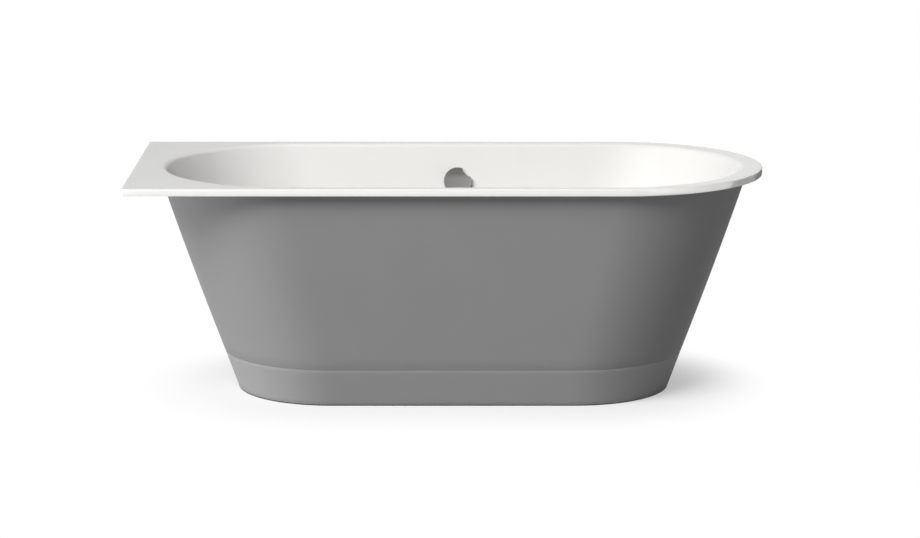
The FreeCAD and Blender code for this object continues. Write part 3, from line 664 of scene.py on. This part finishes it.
plug_radius = 0.034
plug_height = 0.0045
plug_edge = 0.002
plug_crown = 0.0008
plug_gap = 0.0015
plug_boss_radius = 0.017
plug_boss_height = 0.0055
plug_bore = 0.00305
flange_seal_height = 0.001
waste_flange_height = 0.003
plug_edge_steps = 6
turned_steps = 96


def turned_mesh(name, profile):
    """Turned piece from (radius, height) points, from the middle of its foot to the middle of its head."""
    rings = [[Vector((x, y, z)) for x, y in circle(radius, turned_steps)] for radius, z in profile]
    return sheet_mesh(name, rings)


def chrome_surface(start):
    smear = start.noise(40.0, 3.0)
    return {
        "Base Color": start.blend(smear, (0.62, 0.61, 0.585), (0.67, 0.66, 0.635)),
        "Metallic": 1.0,
        "Roughness": 0.09 + 0.08 * smear,
        "Normal": start.bump(start.noise(900.0), 0.00002, 0.2),
    }


def white_plastic_surface(start):
    haze = start.noise(30.0, 2.0)
    flow = start.noise(6.0, 3.0)
    return {
        "Base Color": start.blend(0.5 * haze + 0.5 * flow, (0.66, 0.66, 0.64), (0.76, 0.76, 0.74)),
        "Roughness": 0.34 + 0.14 * haze,
        "Normal": start.bump(start.noise(800.0), 0.00004, 0.3),
    }


bright_chrome = finish("bright_chrome", chrome_surface)
white_plastic = finish("white_plastic", white_plastic_surface)
plug_low = recess_top + flange_seal_height + waste_flange_height + plug_gap
plug_top = plug_low + plug_height
boss_low = plug_low - plug_boss_height
crown_low = plug_top - plug_crown
plug_profile = [(0.0, plug_low), (plug_bore, plug_low), (plug_bore, boss_low), (plug_boss_radius, boss_low),
                (plug_boss_radius, plug_low), (plug_radius - plug_edge / 2, plug_low),
                (plug_radius, plug_low + plug_edge / 2)]
plug_profile += [(plug_radius - plug_edge * (1 - math.cos(turn)),
                  crown_low - plug_edge * (1 - math.sin(turn)))
                 for turn in turns_to(math.pi / 2, plug_edge_steps)]
plug_profile += [((plug_radius - plug_edge) * share, plug_top - plug_crown * share ** 2)
                 for share in (0.8, 0.6, 0.4, 0.2, 0.0)]
plug = show("plug_cap", turned_mesh("plug_cap", plug_profile), bright_chrome)
plug.location = waste_axis
settle(plug)
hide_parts("waste_plug")
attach(plug, "plug")
dress(bright_chrome, "waste_flange")
dress(black_rubber, "flange_seal", "waste_gasket", "plug_seal")
dress(zinc_steel, "plug_stem", "lift_lever", "cable_crank")
dress(white_plastic, "waste_body")

# Overflow: a chromed insert clamps a rubber gasket and a moulded cup to the rear wall. The chromed knob,
# domed and bitten into by a finger scallop, turns a spindle with a pulley on it. Ribs stiffen the cup's
# back.

cup_back = 0.046
cup_sink = 0.0003
cup_ring_radius = 0.031
cup_ring_width = 0.0026
cup_hub_radius = 0.010
cup_rib_width = 0.0020
cup_rib_height = 0.0016
cup_rib_count = 8
detail_edge = 0.0003


def black_plastic_surface(start):
    grain = start.noise(900.0, 2.0)
    scuff = start.noise(60.0, 3.0)
    return {
        "Base Color": start.blend(0.5 * grain + 0.5 * scuff, (0.012, 0.012, 0.013), (0.030, 0.030, 0.031)),
        "Roughness": 0.36 + 0.12 * grain + 0.10 * scuff,
        "Normal": start.bump(grain, 0.00005, 0.4),
    }


black_plastic = finish("black_plastic", black_plastic_surface)
dress(bright_chrome, "overflow_knob", "overflow_insert")
dress(black_rubber, "overflow_gasket")
dress(white_plastic, "overflow_body")
dress(zinc_steel, "overflow_spindle", "spindle_clip")
dress(black_plastic, "drive_pulley")


def added(name, mesh, place, material):
    """Detail that only the scene has, on the body that stands still."""
    piece = show(name, mesh, material)
    piece.matrix_world = place
    soften(piece, detail_edge)
    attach(piece, "bath")


def bar_between(name, x_range, y_range, z_range):
    """Block between two values along each axis."""
    left, right = x_range
    front, back = y_range
    return prism(name, [(left, front), (right, front), (right, back), (left, back)], *z_range)


rib_base = cup_sink - cup_back
rib_top = -cup_back - cup_rib_height
ring_inner = cup_ring_radius - cup_ring_width
ring_profile = [(ring_inner, rib_base), (ring_inner, rib_top), (cup_ring_radius, rib_top),
                (cup_ring_radius, rib_base), (ring_inner, rib_base)]
hub_profile = [(0.0, rib_top), (cup_hub_radius, rib_top), (cup_hub_radius, rib_base), (0.0, rib_base)]
cup_rib = bar_between("cup_rib", (cup_hub_radius - cup_sink, ring_inner + cup_sink),
                      (-cup_rib_width / 2, cup_rib_width / 2), (rib_top + cup_sink, rib_base))
rib_turns = [Matrix.Rotation(2 * math.pi * (k + 0.5) / cup_rib_count, 4, "Z") for k in range(cup_rib_count)]
cup_ribs = welded("cup_ribs", turned_mesh("cup_ring", ring_profile), turned_mesh("cup_hub", hub_profile),
                  gathered("cup_spokes", cup_rib, rib_turns))
added("cup_ribs", cup_ribs, on_wall, white_plastic)

# Overflow pipe and cable: a bent plastic pipe, clamped on a spigot at each end, takes the overflow to the
# waste. A sheathed cable in two steel ferrules runs beside it from the pulley to the crank. Each clamp is
# drawn tight by a hexagon screw in a pressed housing.

clamp_radius = 0.02065
clamp_sink = 0.0015
clamp_box_length = 0.015
clamp_box_width = 0.0085
clamp_box_height = 0.006
clamp_screw_flats = 0.007
clamp_screw_head = 0.005
upper_clamp = (0, -0.0525, -0.029)
lower_clamp_y = 0.0625

clamp_box = bar_between("clamp_box", (-clamp_box_length / 2, clamp_box_length / 2),
                        (-clamp_box_width / 2, clamp_box_width / 2),
                        (-clamp_radius - clamp_box_height, clamp_sink - clamp_radius))
clamp_screw = sheet_mesh("clamp_screw", hexagon_rings(clamp_screw_flats, clamp_box_length / 2 - clamp_sink,
                                                      clamp_box_length / 2 + clamp_screw_head))
clamp_screw.transform(Matrix.Translation((0, 0, -clamp_radius - clamp_box_height / 2))
                      @ Matrix.Rotation(math.pi / 2, 4, "Y"))
lower_clamp = Vector((fittings_x, lower_clamp_y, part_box("pipe_clamps")[0][2] + clamp_radius))
clamp_places = [on_wall @ Matrix.Translation(upper_clamp), Matrix.Translation(lower_clamp)]
clamp_screws = gathered("clamp_screws", welded("clamp_drive", clamp_box, clamp_screw), clamp_places)
added("clamp_screws", clamp_screws, Matrix.Identity(4), zinc_steel)
dress(white_plastic, "overflow_pipe")
dress(zinc_steel, "pipe_clamps", "cable_ferrules")
dress(black_plastic, "drive_cable")

# Trap: a moulded bowl with a dip tube hangs from the waste by a union nut over a rubber ring. A second nut
# holds the outlet pipe, which goes to the drain in the wall. Grip ribs run round the foot of the bowl.

trap_grip_radius = 0.0458
trap_rib_height = 0.0022
trap_rib_count = 36
trap_rib_points = 4
trap_groove_share = 0.4
trap_grip_low = 0.0155
trap_grip_high = 0.0300


def grip_ring(ribbed, z):
    """Ring round the trap's foot, smooth or with the ribs standing out."""
    ring = []
    steps = trap_rib_points * trap_rib_count
    for k in range(steps):
        share = 1.0 if k % trap_rib_points > 1 else trap_groove_share
        reach = trap_grip_radius + (trap_rib_height * share if ribbed else 0)
        turn = 2 * math.pi * k / steps
        ring.append(Vector((reach * math.cos(turn), reach * math.sin(turn), z)))
    return ring


grip_path = ((False, trap_grip_high), (True, trap_grip_high), (True, trap_grip_low), (False, trap_grip_low),
             (False, trap_grip_high))
trap_grip = sheet_mesh("trap_grip", [grip_ring(ribbed, z) for ribbed, z in grip_path])
added("trap_grip", trap_grip, Matrix.Translation(waste_axis), white_plastic)
dress(white_plastic, "trap_body", "trap_nut", "outlet_nut", "outlet_pipe")
dress(black_rubber, "trap_seal", "outlet_seal")

# Skirt: two half shells of steel sheet welded up the ends into one tapered wall, with a flange under the
# rim and a doorway at the back. It is stoved in a grey satin enamel inside and out.

skirt_sheet = 0.0025
skirt_end_gap = 0.017
skirt_side_gap = 0.011
skirt_end_taper = 0.1745
skirt_side_taper = 0.0635
skirt_flange = 0.018
skirt_bulge = 0.003
crease_height = 0.1095
tape_thickness = 0.003
service_width = 0.420
service_head = 0.052
service_corner = 0.030
service_corner_steps = 8
cutter_foot = -0.05
cutter_front = 0.15
skirt_steps = 16
satin_low = 0.241
satin_high = 0.253

skirt_top = bath_height - tub_sheet - tape_thickness
head_half_length = opening_half_length + skirt_end_gap
head_half_width = opening_half_width + skirt_side_gap
crease_half_length = head_half_length - skirt_end_taper
crease_half_width = head_half_width - skirt_side_taper


def level_ring(half_length, half_width, z, bulge=0.0):
    """Level ring with straight sides and round ends, which may swell a little."""
    straight = half_length - half_width
    return oval_ring(lambda angle: straight * math.cos(angle) + half_width + bulge * math.cos(angle) ** 2,
                     lambda angle: (0.0, z))


def skirt_ring(z, outset=0.0):
    """Ring of the skirt at a height, moved out by an outset."""
    share = (rim_under - z) / (rim_under - crease_height)
    return level_ring(head_half_length - share * skirt_end_taper + outset,
                      head_half_width - share * skirt_side_taper + outset, z,
                      skirt_bulge * 4 * share * (1 - share))


def satin_surface(start, low_tone, high_tone):
    grain = start.noise(700.0, 3.0)
    cloud = start.noise(7.0, 1.0)
    return {
        "Base Color": start.blend(cloud, (low_tone,) * 3, (high_tone,) * 3),
        "Roughness": 0.50 + 0.06 * cloud + 0.06 * grain,
        "Specular IOR Level": 0.04,
        "Normal": start.bump(grain, 0.00005, 0.35),
    }


grey_enamel = finish("grey_enamel", lambda start: satin_surface(start, satin_low, satin_high))
flange_z = skirt_top - skirt_sheet
skirt_levels = [flange_z + (crease_height - flange_z) * share for share in even_shares(skirt_steps)]
skirt_rings = [skirt_ring(flange_z, skirt_flange * share) for share in (1.0, 0.5)]
skirt_rings += [skirt_ring(z) for z in skirt_levels]
for ring in skirt_rings:
    ring.reverse()
skirt = show("skirt_panel", sheet_mesh("skirt_panel", skirt_rings), grey_enamel)
thicken(skirt, skirt_sheet)
settle(skirt)


def doorway_outline():
    """Doorway at the back, round at its upper corners, open at the floor."""
    left, right = fittings_x - service_width / 2, fittings_x + service_width / 2
    top = rim_under - service_head
    points = [(right, cutter_foot)]
    for x, start in ((right - service_corner, 0.0), (left + service_corner, math.pi / 2)):
        points += [(x + service_corner * math.cos(start + turn),
                    top - service_corner + service_corner * math.sin(start + turn))
                   for turn in turns_to(math.pi / 2, service_corner_steps)]
    return points + [(left, cutter_foot)]


def doorway_cutter():
    """Block that cuts the doorway through the back of a sheet."""
    mesh = prism("doorway_cutter", doorway_outline(), -bath_width / 2, -cutter_front)
    mesh.transform(Matrix.Rotation(math.pi / 2, 4, "X"))
    return mesh


cut(skirt, doorway_cutter())
soften(skirt, edge_round)
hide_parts("skirt")
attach(skirt, "bath")
dress(black_rubber, "skirt_bond_tape")

# Plinth: a lower band of the same sheet that leans in more, in the skirt's grey enamel painted a tone paler.
# That is painted light, standing in for the light the floor throws up on it. A step at its top slips up
# behind the skirt, so the two meet in a fine seam.

plinth_taper = 0.039
plinth_upstand = 0.020
seal_height = 0.003
seam_gap = 0.0003
plinth_steps = 8
# Tones a little lighter than the skirt's grey: painted light from the floor, not a paint of its own.
painted_bounce_low = 0.290
painted_bounce_high = 0.304


def plinth_ring(z):
    """Ring of the plinth at a height."""
    step = plinth_taper * (crease_height - z) / crease_height
    return level_ring(crease_half_length - step, crease_half_width - step, z)


plinth_top = crease_height - seam_gap
behind = -(skirt_sheet + seam_gap) / math.cos(math.atan(skirt_end_taper / (rim_under - crease_height)))
plinth_rings = [skirt_ring(crease_height + plinth_upstand, behind), skirt_ring(crease_height, behind)]
plinth_rings += [plinth_ring(plinth_top + (seal_height - plinth_top) * share)
                 for share in even_shares(plinth_steps)]
for ring in plinth_rings:
    ring.reverse()
# The plinth's finish is the skirt's grey made paler: painted light.
painted_bounce_enamel = finish("painted_bounce_enamel", lambda start: satin_surface(start, painted_bounce_low, painted_bounce_high))
plinth = show("plinth_band", sheet_mesh("plinth_band", plinth_rings), painted_bounce_enamel)
thicken(plinth, skirt_sheet)
settle(plinth)
cut(plinth, doorway_cutter())
soften(plinth, edge_round)
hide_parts("plinth")
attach(plinth, "bath")
dress(black_rubber, "floor_seal")

# Skirt brackets: angles folded from zinc-plated sheet, which steady the foot of the skirt. Each is held to
# the end of a rail by a hexagon screw and a nut.

bracket_sheet = 0.002
bracket_screw_radius = 0.003
bracket_screw_pitch = 0.001
bracket_screw_length = 0.014
bracket_head_flats = 0.010
bracket_head_height = 0.004

bracket_top = rail_top + bracket_sheet
screw_thread = threaded_rod("screw_thread", bracket_top - bracket_screw_length, bracket_top,
                            bracket_screw_radius, bracket_screw_pitch)
screw_head = sheet_mesh("screw_head", hexagon_rings(bracket_head_flats, bracket_top,
                                                    bracket_top + bracket_head_height))
screw_places = corners_of("bracket_screws", bracket_head_flats / math.sqrt(3), bracket_head_flats / 2)
bracket_bolt = welded("bracket_bolt", screw_thread, screw_head)
screws = show("bracket_bolts", gathered("bracket_bolts", bracket_bolt, screw_places), zinc_steel)
settle(screws)
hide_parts("bracket_screws")
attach(screws, "bath")
dress(zinc_steel, "skirt_brackets", "bracket_nuts")

# Wall hooks: cranked strips of zinc-plated steel, screwed to the two walls. The rim's turned-down edge drops
# over them.

dress(zinc_steel, "wall_anchors")

# Floor: pale and plain. It shows the shadow near the foot of the bath and is white further off, but gives the
# bath less light than it shows. It is clear from below, so that the underside can be looked at.

floor_reach = 30.0
shade_share = 0.60
shade_width = 0.31
floor_glow = 0.10
floor_tone = (0.80, 0.80, 0.80, 1)
bounce_tone = (0.50, 0.50, 0.50, 1)

foot_half_width = crease_half_width - plinth_taper
foot_straight = crease_half_length - crease_half_width


def seen_rays(start):
    """1 for rays that show the background: from the camera, from gloss and through glass."""
    kinds = ("Camera", "Glossy", "Transmission")
    direct, mirrored, through = [start.node("LightPath", {}, {}, f"Is {kind} Ray") for kind in kinds]
    return start.math("MAXIMUM", start.math("MAXIMUM", direct, mirrored), through)


def quad_mesh(name, corners):
    """Mesh of one face through four points."""
    mesh = bpy.data.meshes.new(name)
    mesh.from_pydata(corners, [], [(0, 1, 2, 3)])
    return mesh


def floor_shader(start):
    matt = start.node("BsdfDiffuse", {}, {"Color": floor_tone})
    glow = start.node("Emission", {}, {"Strength": floor_glow})
    along = start.math("ABSOLUTE", start.coordinate("X") - bowl_x, 0.0) - foot_straight
    along = start.math("MAXIMUM", along, 0.0)
    across = start.coordinate("Y")
    away = start.math("SQRT", along * along + across * across, 0.0) - foot_half_width
    bare = start.node("MapRange", {"interpolation_type": "SMOOTHSTEP"},
                      {"Value": away, "From Max": shade_width, "To Min": 1 - shade_share})
    shaded = start.node("AddShader", {}, {0: matt, 1: glow})
    white = start.node("Emission", {}, {"Strength": 1.0})
    shown = start.node("MixShader", {}, {0: bare, 1: shaded, 2: white})
    bounce = start.node("BsdfDiffuse", {}, {"Color": bounce_tone})
    above = start.node("MixShader", {}, {0: seen_rays(start), 1: bounce, 2: shown})
    below = start.node("NewGeometry", {}, {}, "Backfacing")
    return start.node("MixShader", {}, {0: below, 1: above, 2: start.node("BsdfTransparent", {}, {})})


floor_corners = [(x * floor_reach, y * floor_reach, 0) for x, y in ((-1, -1), (1, -1), (1, 1), (-1, 1))]
show("floor", quad_mesh("floor", floor_corners), material_of("floor", floor_shader))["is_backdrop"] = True

# Light: a broad soft lamp high on the left, and low strips at the left, at the right of the front and behind,
# in a white room. Cards that only gloss sees keep the chrome and the flat rim from mirroring bare white, and
# one of them brightens the rim's round end.

room_light = 0.02
lamp_distance = 14.0


def lamp(name, swing, lift, size, power):
    """Soft lamp aimed at the bath from a bearing and a height angle, in degrees."""
    data = bpy.data.lights.new(name, "AREA")
    data.shape = "RECTANGLE"
    data.size, data.size_y = size
    data.energy = power
    made = bpy.data.objects.new(name, data)
    bpy.context.scene.collection.objects.link(made)
    bearing, rise = math.radians(swing), math.radians(lift)
    look = Vector((math.cos(rise) * math.sin(bearing), -math.cos(rise) * math.cos(bearing), math.sin(rise)))
    made.location = lamp_distance * look + Vector((0, 0, bath_height / 2))
    made.rotation_mode = "QUATERNION"
    made.rotation_quaternion = (-look).to_track_quat("-Z", "Y")
    made.visible_glossy = False


def card(name, y, half_width, low, high, tone, slope=0.0, swing=0.0, glow=1.0):
    """Upright card that only gloss sees, swung round the bath. Its tone may rise towards its right."""
    def shader(start):
        black = start.node("Emission", {}, {"Strength": 0.0})
        white = start.node("Emission", {}, {"Strength": glow})
        return start.node("MixShader", {}, {0: tone + slope * start.coordinate("X"), 1: black, 2: white})

    corners = [(side * half_width, y, z) for side, z in ((-1, low), (1, low), (1, high), (-1, high))]
    made = show(name, quad_mesh(name, corners), material_of(name, shader))
    made.rotation_euler = (0, 0, math.radians(swing))
    made.visible_camera = False
    made.visible_diffuse = False
    made.visible_transmission = False
    made.visible_shadow = False
    made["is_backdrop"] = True


lamp("key_lamp", swing=-36, lift=43, size=(9.0, 8.0), power=2310.0)
lamp("side_lamp", swing=-90, lift=0, size=(7.0, 0.5), power=1360.0)
lamp("fill_lamp", swing=22, lift=0, size=(7.0, 0.5), power=190.0)
lamp("rear_lamp", swing=172, lift=0, size=(9.0, 0.5), power=1400.0)
card("rear_card", y=1.2, half_width=2.0, low=0.62, high=3.0, tone=0.86, slope=0.24)
card("low_card", y=1.2, half_width=2.0, low=0.0, high=0.62, tone=0.15)
card("front_card", y=-4.0, half_width=2.0, low=0.9, high=2.7, tone=0.42, slope=0.06)
card("high_card", y=-4.0, half_width=2.0, low=2.7, high=16.0, tone=0.24)
card("right_card", y=-2.0, half_width=1.15, low=0.0, high=0.7, tone=0.9, slope=0.1, swing=60, glow=5.5)
world = bpy.data.worlds.new("studio")
bpy.context.scene.world = world
world.use_nodes = True
world.node_tree.nodes.clear()
sky = Wire(world.node_tree)
room = sky.node("Background", {}, {"Strength": room_light + (1 - room_light) * seen_rays(sky)})
sky.node("OutputWorld", {}, {"Surface": room})
bpy.context.scene.view_settings.view_transform = "Standard"

# Camera: a long lens, a little above the rim and almost square to the front, as in the photograph.

camera_dip = 0.200035

camera_data = bpy.data.cameras.new("camera")
camera_data.lens = 123.52
camera_data.sensor_width = 36.0
camera_data.shift_y = -0.0011
camera = bpy.data.objects.new("camera", camera_data)
bpy.context.scene.collection.objects.link(camera)
camera.location = (0.0316, -8.70876, 2.09824)
camera.rotation_euler = (math.pi / 2 - camera_dip, 0, 0)
bpy.context.scene.camera = camera

# Size: the box of the shown pieces of the dressed part, without the stage.

low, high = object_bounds()
